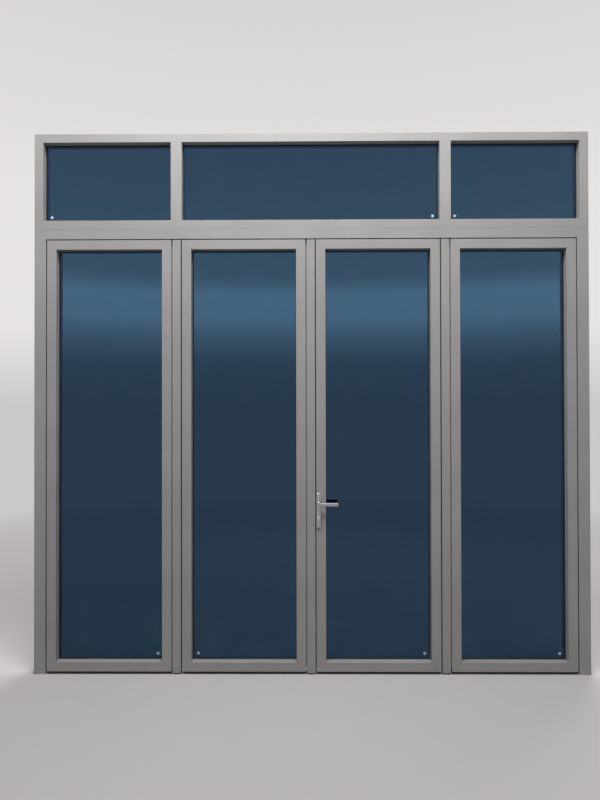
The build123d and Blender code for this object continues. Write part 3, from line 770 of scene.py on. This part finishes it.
both_ends = joined([seal_end(post_high.z, leaf_top), seal_end(seal_foot, post_low.z)])
smooth(add_part("centre_seal_ends", both_ends, "leaf_2", black_rubber))

# %% [markdown]
# ## Drain covers
# Water that gets past the beads leaves through slots in the outdoor face of the bottom
# members. A small hooded cover keeps the wind out of each slot. The hood is a box whose
# upper edges are rounded and whose underside is open.
# %% Shape the drain covers
drain_from_opening = 60 * mm
cover_width, cover_height, cover_depth = 36 * mm, 11 * mm, 5 * mm
cover_round, cover_wall, hollow_share = 1.6 * mm, 0.9 * mm, 0.75
slot_middle = 8.5 * mm


def drain_cover():
    """A hooded cover, with its back on the XY plane and its open side towards -Y."""
    shape = bmesh.new()
    bmesh.ops.create_cube(shape, size=1)
    bmesh.ops.scale(shape, verts=shape.verts, vec=(cover_width, cover_height, cover_depth))
    bmesh.ops.translate(shape, verts=shape.verts, vec=(0, 0, cover_depth / 2))
    rounded = []
    for edge in shape.edges:
        first, second = (v.co for v in edge.verts)
        in_front = min(first.z, second.z) > cover_depth / 2
        back_to_front = abs(first.z - second.z) > cover_depth / 2
        if (in_front or back_to_front) and max(first.y, second.y) > 0:
            rounded.append(edge)
    round_edges(shape, rounded, cover_round)
    under = min(shape.faces, key=lambda face: face.calc_center_median().y)
    bmesh.ops.inset_region(shape, faces=[under], thickness=cover_wall)
    push_face(shape, under, (0, hollow_share * cover_height, 0))
    return as_mesh("drain cover", shape)


cover = drain_cover()
outdoors_upright = Matrix(((-1, 0, 0, 0), (0, 0, 1, 0), (0, 1, 0, 0), (0, 0, 0, 1)))


def add_covers(name, openings, member_bottom, body):
    """Two drain covers under each opening, facing outdoors with their own Y axis upwards."""
    places = []
    for x0, x1, _, _ in openings:
        for x in (x0 + drain_from_opening, x1 - drain_from_opening):
            slot = Matrix.Translation((x, outdoor_face, member_bottom + slot_middle))
            places.append(slot @ outdoors_upright)
    smooth(add_part(name, repeated(cover, places), body, grey_plastic))


for name, opening in leaf_openings.items():
    add_covers(name + "_drain_covers", [opening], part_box(name + "_rails")[0].z, name)
add_covers("top_light_drain_covers", top_openings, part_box("top_sill")[0].z, "frame")

# %% [markdown]
# ## Lock details
# Small parts of the lock show up close: the screws of the handle plates, the screws in the
# faceplate on the leaf's edge, one of which holds the cylinder, and the bearing ring round
# each lever's neck. The faceplate's screws take the near-black steel, which paints the shade
# of the gap they lie in.
# %% Set the lock's screws and rings
plates_low, plates_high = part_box("handle_plates")
faceplate_low, faceplate_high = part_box("lock_case")
lever_x = (plates_low.x + plates_high.x) / 2
turning = {joint["name"]: joint["pos_m"] for joint in frame["joints"] if "pos_m" in joint}
lever_z, cylinder_z = turning["lever_lift"][2], turning["thumb_turn_spin"][2]
plate_screw_inset, face_screw_inset = 11 * mm, 9 * mm
faceplate_y = -15 * mm

plate_screws = []
for z in (plates_high.z - plate_screw_inset, plates_low.z + plate_screw_inset):
    plate_screws.append(facing(lever_x, plates_low.y, z, INDOORS))
heads = repeated(small_head, plate_screws)
add_part("handle_plate_screws", heads, "leaf_3", plate_metal)

face_screws = []
for z in (faceplate_high.z - face_screw_inset, faceplate_low.z + face_screw_inset, cylinder_z):
    face_screws.append(facing(faceplate_low.x, faceplate_y, z, LEFT))
heads = repeated(small_head, face_screws)
add_part("lock_faceplate_screws", heads, "leaf_3", gap_shade_steel)

ring_outline = ((9.9, 0), (9.9, 1.6), (10.2, 2.1), (10.8, 1.9), (11.3, 1.0), (11.4, 0), (9.9, 0))
neck_ring = as_mesh("neck ring", turned(ring_outline, 32))
necks = [
    facing(lever_x, plates_low.y, lever_z, INDOORS),
    facing(lever_x, plates_high.y, lever_z, OUTDOORS),
]
rings = repeated(neck_ring, necks)
smooth(add_part("lever_neck_rings", rings, "leaf_3", plate_metal))

# %% [markdown]
# ## Keeps and bolts
# The parts that the bolts go into are screwed on: forks and a strike plate on the centre
# post, and a holed plate under the head for each top bolt. They are seen when a leaf is
# open.
# %% Set the keep screws
tiny_head = screw_head(2.2 * mm)
keeps_low, keeps_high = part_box("centre_post_keeps")
post_edge = keeps_low.x
fork_thickness, strike_thickness = 2.5 * mm, 3 * mm
fork_y = keeps_high.y - 12 * mm
pin_heights = (0.397, 1.3, 2.203)
fork_screw_sides, fork_screw_ups = (-8.4 * mm, 8.4 * mm), (12 * mm, 26 * mm)
bolt_z = cylinder_z + 30 * mm
strike_screw_ups = (-23 * mm, 23 * mm)
keep_screws = []
for pin_z in pin_heights:
    for side in fork_screw_sides:
        for up in fork_screw_ups:
            x = post_edge + fork_thickness
            keep_screws.append(facing(x, fork_y + side, pin_z + up, RIGHT))
for up in strike_screw_ups:
    keep_screws.append(facing(post_edge + strike_thickness, faceplate_y, bolt_z + up, RIGHT))
heads = repeated(tiny_head, keep_screws)
# Near-black steel: it paints the shade of the gap beside the centre post.
add_part("centre_keep_screws", heads, "leaf_2", gap_shade_steel)

head_plates_low, head_plates_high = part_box("head_bolt_keeps")
head_plate_y = (head_plates_low.y + head_plates_high.y) / 2
half_plate, centre_plate_x = 22 * mm, 12.5 * mm
head_screw_sides = (-16 * mm, 16 * mm)
head_screws = []
for x in (head_plates_low.x + half_plate, centre_plate_x, head_plates_high.x - half_plate):
    for side in head_screw_sides:
        head_screws.append(facing(x + side, head_plate_y, head_plates_low.z, DOWN))
heads = repeated(small_head, head_screws)
add_part("head_keep_screws", heads, "frame", zinc_steel)

# %% [markdown]
# The slider of each flush bolt has three small ribs for the finger.
# %% Put ribs on the sliders
rib_length, rib_radius, rib_round = 5.4 * mm, 0.7 * mm, 0.3 * mm
rib_heights = (-4 * mm, 0, 4 * mm)
slider_middle = {"top": 2.033, "bottom": 0.269}


def finger_rib():
    """A small rounded bar along Y, half sunk in its slider."""
    shape = bmesh.new()
    bmesh.ops.create_cone(
        shape,
        cap_ends=True,
        segments=10,
        radius1=rib_radius,
        radius2=rib_radius,
        depth=rib_length,
    )
    ends = [e for e in shape.edges if e.verts[0].co.z * e.verts[1].co.z > 0]
    round_edges(shape, ends, rib_round, steps=2)
    bmesh.ops.rotate(shape, verts=shape.verts, matrix=Matrix.Rotation(math.pi / 2, 3, "X"))
    return as_mesh("finger rib", shape)


rib = finger_rib()
for post in ("left", "centre", "right"):
    for end, middle in slider_middle.items():
        bolt_low, bolt_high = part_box(f"meeting_post_{post}_{end}_bolt")
        x = bolt_low.x if post == "right" else bolt_high.x
        y = (bolt_low.y + bolt_high.y) / 2
        places = [Matrix.Translation((x, y, middle + up)) for up in rib_heights]
        ribs = repeated(rib, places)
        bolt = f"{post}_{end}_bolt"
        smooth(add_part(bolt + "_ribs", ribs, bolt, zinc_steel))

# %% [markdown]
# ## Plugs in the jambs
# The frame is fixed through its jambs, and a domed plug closes each access hole in the edge
# that faces the leaf. Like the hinge caps, a plug is an outline turned round its axis.
# %% Turn the plugs
fixing_heights = (0.275, 0.975, 1.675, 2.375)
fixing_y = -8 * mm
jamb_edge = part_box("door_jamb_left")[1].x
plug_outline = ((0, 1.5), (4, 1.35), (7.6, 0.8), (8.6, 0), (6.8, 0), (6.8, -3), (0, -3))
plug = as_mesh("plug", turned(plug_outline, 24))
plug_places = []
for z in fixing_heights:
    plug_places.append(facing(jamb_edge, fixing_y, z, RIGHT))
    plug_places.append(facing(-jamb_edge, fixing_y, z, LEFT))
smooth(add_part("jamb_plugs", repeated(plug, plug_places), "frame", grey_plastic))

# %% [markdown]
# ## Joint lines
# Where two mitred profiles meet there is a hairline of dark joint sealer. The lines are thin
# strips that stand a few hundredths of a millimetre out of the metal, so that they don't
# flicker with it.
# %% Draw the mitre lines
line_width, line_proud = 0.4 * mm, 0.03 * mm
leaf_face, top_face = 56 * mm, 51 * mm


def strip(shape, start, end, face_y, width):
    """A thin strip between two points (x, z) on a face of the door."""
    run = Vector((end[0] - start[0], 0, end[1] - start[1]))
    run -= run.normalized() * width
    made = bmesh.ops.create_cube(shape, size=1)["verts"]
    bmesh.ops.scale(shape, verts=made, vec=(run.length, 2 * line_proud, width))
    turn = Matrix.Rotation(-math.atan2(run.z, run.x), 3, "Y")
    bmesh.ops.rotate(shape, verts=made, matrix=turn)
    middle = ((start[0] + end[0]) / 2, face_y, (start[1] + end[1]) / 2)
    bmesh.ops.translate(shape, verts=made, vec=middle)


def widened(opening, by):
    """The outline of the mitred frame round an opening."""
    x0, x1, z0, z1 = opening
    return x0 - by, x1 + by, z0 - by, z1 + by


def corner_lines(outer, inner):
    """Strips from each outer corner of a mitred frame to its inner corner, on both faces."""
    shape = bmesh.new()
    for side in (0, 1):
        for end in (2, 3):
            corners = (outer[side], outer[end]), (inner[side], inner[end])
            for face_y in (indoor_face, outdoor_face):
                strip(shape, *corners, face_y, line_width)
    return shape


for name, opening in leaf_openings.items():
    lines = corner_lines(widened(opening, leaf_face), opening)
    add_part(name + "_mitre_lines", lines, name, black_rubber)
top_opening = (top_openings[0][0], top_openings[2][1], *top_openings[0][2:])
top_outline = widened(top_opening, top_face)
lines = corner_lines(top_outline, top_opening)
add_part("top_frame_mitre_lines", lines, "frame", black_rubber)

# %% [markdown]
# A wider line of sealer lies in the groove between the two frames, a little below the faces,
# and a fine black strip paints the shadow line where a post's profile meets its end caps.
# %% Draw the groove line and the painted shadow lines at the caps
groove_width, groove_sunk = 1.2 * mm, 0.5 * mm
cap_height, cap_shadow_line_width = 32 * mm, 0.5 * mm
line_ends = 1 * mm
groove = bmesh.new()
groove_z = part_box("top_sill")[0].z
groove_start, groove_end = top_outline[0] + line_ends, top_outline[1] - line_ends
for face_y in (indoor_face + groove_sunk, outdoor_face - groove_sunk):
    strip(groove, (groove_start, groove_z), (groove_end, groove_z), face_y, groove_width)
add_part("frame_groove_sealer", groove, "frame", black_rubber)
for post, body in (("left", "leaf_1"), ("centre", "leaf_2"), ("right", "leaf_4")):
    caps_low, caps_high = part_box(f"meeting_post_{post}_end_caps")
    x0, x1 = caps_low.x + line_ends, caps_high.x - line_ends
    shape = bmesh.new()
    # Painted shadow lines: thin black strips at the joins of post and caps.
    for z in (caps_low.z + cap_height, caps_high.z - cap_height):
        strip(shape, (x0, z), (x1, z), indoor_face, cap_shadow_line_width)
    add_part(f"{post}_post_cap_shadow_lines", shape, body, black_rubber)

# %% [markdown]
# ## Brushes under the leaves
# A leaf ends 17 mm above the floor, and a rubber sweep with a brush closes the gap. A brush
# has hundreds of tufts, so one tapered tuft is modelled, and an Array modifier repeats it
# along the leaf. The tufts lean outwards a little, as they do once they have been used.
# %% Make the brushes
tuft_pitch, tuft_root, tuft_tip = 4 * mm, 0.9 * mm, 0.35 * mm
tuft_foot, tuft_lean = 1 * mm, math.radians(5)
sweep_half = 4 * mm
brush_inset = 4 * mm


def tuft_row(x, z0, z1, side):
    """The first tuft of a row, on one side of the sweep."""
    shape = bmesh.new()
    bmesh.ops.create_cone(
        shape, cap_ends=True, segments=6, radius1=tuft_tip, radius2=tuft_root, depth=z1 - z0
    )
    lean = Matrix.Rotation(tuft_lean * side, 3, "X")
    bmesh.ops.rotate(shape, verts=shape.verts, matrix=lean)
    y = side * (sweep_half + tuft_root)
    bmesh.ops.translate(shape, verts=shape.verts, vec=(x, y, (z0 + z1) / 2))
    return shape


for name in leaf_names:
    leaf_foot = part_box(name + "_rails")[0].z
    x0, x1, _, _ = leaf_openings[name]
    start, end = x0 - leaf_face + brush_inset, x1 + leaf_face - brush_inset
    for side, word in ((-1, "indoor"), (1, "outdoor")):
        tuft = tuft_row(start, tuft_foot, leaf_foot, side)
        tufts = add_part(f"{name}_{word}_brush", tuft, name, black_rubber)
        array = tufts.modifiers.new("tufts along the leaf", "ARRAY")
        array.use_relative_offset = False
        array.use_constant_offset = True
        array.constant_offset_displace = (tuft_pitch, 0, 0)
        array.count = int((end - start) / tuft_pitch)

# %% [markdown]
# ## Frosted spots on the panes
# Toughened glass carries a small etched mark in a lower corner. A plain frosted spot stands
# for it: a disc a tenth of a millimetre thick, with a fine ring round it.
# %% Etch the spots
frost_dark, frost_light = (0.4, 0.44, 0.5, 1.0), (0.62, 0.66, 0.72, 1.0)


def frosted():
    """Etched glass: pale, matt and a little uneven."""
    etched = start_finish("frosted spot", specular_ior_level=0.3)
    grain = noise(etched, object_place(etched), 1500.0, 2.0)
    drive(etched, "Base Color", mix_colours(etched, grain, frost_dark, frost_light))
    drive(etched, "Roughness", spread(etched, grain, 0.3, 0.7, 0.6, 0.8))
    relief(etched, grain, 0.03 * mm)
    return etched


frosted_glass = frosted()
spot_disc = ((0, 0.12), (5.6, 0.12), (6, -0.05))
spot_ring = ((7.4, -0.05), (7.8, 0.12), (8.8, 0.12), (9, -0.05), (0, -0.05))
spot = as_mesh("spot", turned(spot_disc + spot_ring, 24))
spot_inset = 34 * mm


def add_spot(name, opening, at_left, body):
    """One spot in a lower corner of a pane, on its indoor face."""
    x0, x1, z0, _ = opening
    x = x0 + spot_inset if at_left else x1 - spot_inset
    place = facing(x, glass_indoors, z0 + spot_inset, INDOORS)
    add_part(name + "_glass_spot", repeated(spot, [place]), body, frosted_glass)


for name in leaf_names:
    add_spot(name, leaf_openings[name], name == "leaf_2", name)
for name, opening in zip(("top_left", "top_centre", "top_right"), top_openings):
    add_spot(name, opening, name != "top_centre", "frame")

# %% [markdown]
# ## Floor
# A pale floor takes the door's shadow. Further out it fades into the colour of the backdrop,
# so that no horizon shows. The camera sees the same colour on all sides, and mirrors see a
# darker one indoors.
# %% Lay the floor
floor_size = 60.0
fade_start, fade_end = 2.5, 7.0
floor_dark, floor_light = (0.405, 0.39, 0.385, 1.0), (0.42, 0.405, 0.4, 1.0)
horizon_outdoors = (0.6, 0.582, 0.582, 1.0)
horizon_indoors = (0.45, 0.4365, 0.4365, 1.0)


def pale_floor():
    """Pale matt floor with a faint mottle, which glows in the backdrop's colour far away."""
    ground = start_finish("pale floor", roughness=0.7, specular_ior_level=0.2)
    place = object_place(ground)
    mottle = spread(ground, noise(ground, place, 1.2, 4.0, 0.5), 0.2, 0.8)
    drive(ground, "Base Color", mix_colours(ground, mottle, floor_dark, floor_light))
    distance = add_node(ground, "VectorMath", {0: place}, operation="LENGTH").outputs["Value"]
    far = spread(ground, distance, fade_start, fade_end)
    along = add_node(ground, "SeparateXYZ", {"Vector": place}).outputs["Y"]
    camera_ray = add_node(ground, "LightPath", {}).outputs["Is Camera Ray"]
    outdoors = combine(ground, "MAXIMUM", spread(ground, along, -1.0, 1.0), camera_ray)
    beyond = mix_colours(ground, outdoors, horizon_indoors, horizon_outdoors)
    glow = add_node(ground, "Emission", {"Color": beyond}).outputs[0]
    matt = ground.node_tree.nodes["Principled BSDF"].outputs[0]
    faded = add_node(ground, "MixShader", {0: far, 1: matt, 2: glow}).outputs[0]
    output = ground.node_tree.nodes["Material Output"]
    ground.node_tree.links.new(faded, output.inputs["Surface"])
    return ground


floor_shape = bmesh.new()
bmesh.ops.create_grid(floor_shape, x_segments=4, y_segments=4, size=floor_size / 2)
floor_mesh = as_mesh("floor", floor_shape)
floor_mesh.materials.append(pale_floor())
floor = bpy.data.objects.new("floor", floor_mesh)
bpy.context.scene.collection.objects.link(floor)
print("floor:", floor_size, "m")

# %% [markdown]
# ## Light
# The world gives weak, even light to matt surfaces, and the camera sees it as a plain pale
# backdrop. A pane that is seen from indoors mirrors greys that change with height: a bright
# band, a little above level, gives it the blue band near its top. A pane that is seen from
# outdoors mirrors plain pale greys.
# %% Make the world
world_light = 0.22
world_colour = (1.0, 0.99, 0.98, 1.0)
grey_tint = 0.97
outdoor_shades = ((0.0, 0.6), (0.12, 0.8), (0.3, 0.8), (0.6, 0.66))
indoor_below = ((0.0, 0.45), (0.07, 0.5), (0.11, 1.1))
indoor_band = ((0.14, 1.9), (0.18, 2.0))
indoor_above = ((0.205, 1.1), (0.3, 0.85), (0.38, 0.72), (0.6, 0.66))
indoor_shades = indoor_below + indoor_band + indoor_above


def shades_by_height(world, height, steps):
    """Greys that change with the height of the direction: 0 is level, 1 is straight up."""
    ramp = add_node(world, "ValToRGB", {0: height})
    elements = ramp.color_ramp.elements
    for index, (position, grey) in enumerate(steps):
        step = elements[index] if index < 2 else elements.new(position)
        step.position = position
        step.color = (grey, grey_tint * grey, grey_tint * grey, 1.0)
    return ramp.outputs["Color"]


def pale_world():
    """Even light, and pale greys where the world is seen, mirrored or seen through glass."""
    world = bpy.data.worlds.new("pale world")
    world.use_nodes = True
    light = world.node_tree.nodes["Background"]
    light.inputs["Color"].default_value = world_colour
    light.inputs["Strength"].default_value = world_light
    rays = add_node(world, "LightPath", {}).outputs
    place = add_node(world, "TexCoord", {}).outputs["Generated"]
    direction = add_node(world, "SeparateXYZ", {0: place}).outputs
    outdoors = spread(world, direction["Y"], -0.1, 0.1)
    outdoors = combine(world, "MAXIMUM", outdoors, rays["Is Camera Ray"])
    indoor_greys = shades_by_height(world, direction["Z"], indoor_shades)
    outdoor_greys = shades_by_height(world, direction["Z"], outdoor_shades)
    greys = mix_colours(world, outdoors, indoor_greys, outdoor_greys)
    seen = add_node(world, "Background", {"Color": greys})
    is_seen = combine(world, "MAXIMUM", rays["Is Camera Ray"], rays["Is Glossy Ray"])
    is_seen = combine(world, "MAXIMUM", is_seen, rays["Is Transmission Ray"])
    shaders = {0: is_seen, 1: light.outputs[0], 2: seen.outputs[0]}
    chosen = add_node(world, "MixShader", shaders).outputs[0]
    output = world.node_tree.nodes["World Output"]
    world.node_tree.links.new(chosen, output.inputs["Surface"])
    return world


bpy.context.scene.world = pale_world()
print("light from the world:", world_light)

# %% [markdown]
# Most of the light on the door comes from two large area lights above it, one on each side,
# so it fades from the head to the foot.
# %% Place the two lights
lamp_target = (0, 0, 1.6)


def soft_lamp(name, place, size, power):
    """A large rectangular light that points at the middle of the door."""
    lamp = bpy.data.lights.new(name, "AREA")
    lamp.shape = "RECTANGLE"
    lamp.size, lamp.size_y = size
    lamp.energy = power
    holder = bpy.data.objects.new(name, lamp)
    holder.location = place
    holder.rotation_mode = "QUATERNION"
    holder.rotation_quaternion = (Vector(lamp_target) - Vector(place)).to_track_quat("-Z", "Y")
    bpy.context.scene.collection.objects.link(holder)
    print(name, power, "W")


soft_lamp("lamp indoors", place=(-0.2, -1.9, 5.7), size=(3.0, 1.6), power=345)
soft_lamp("lamp outdoors", place=(1.2, 2.6, 6.0), size=(4.5, 1.6), power=340)

# %% [markdown]
# ## Camera
# The camera stands in front of the door, nearly level and at eye height. Its place and its
# slight tilt come from measured edges of the door.
# %% Place the camera
camera_data = bpy.data.cameras.new("camera")
camera_data.sensor_fit = "VERTICAL"
camera_data.sensor_height = 36
camera_data.lens = 27
camera_data.clip_end = 200
camera_x, camera_distance, eye_height = -0.0371, 3.566, 1.5975
pitch, roll, yaw = math.radians(90.468), math.radians(0.117), math.radians(0.451)
camera = bpy.data.objects.new("camera", camera_data)
camera.location = (camera_x, indoor_face - camera_distance, eye_height)
camera.rotation_euler = (pitch, roll, yaw)
bpy.context.scene.collection.objects.link(camera)
bpy.context.scene.camera = camera
bpy.context.scene.view_settings.view_transform = "Standard"
print("camera at", tuple(round(c, 3) for c in camera.location))
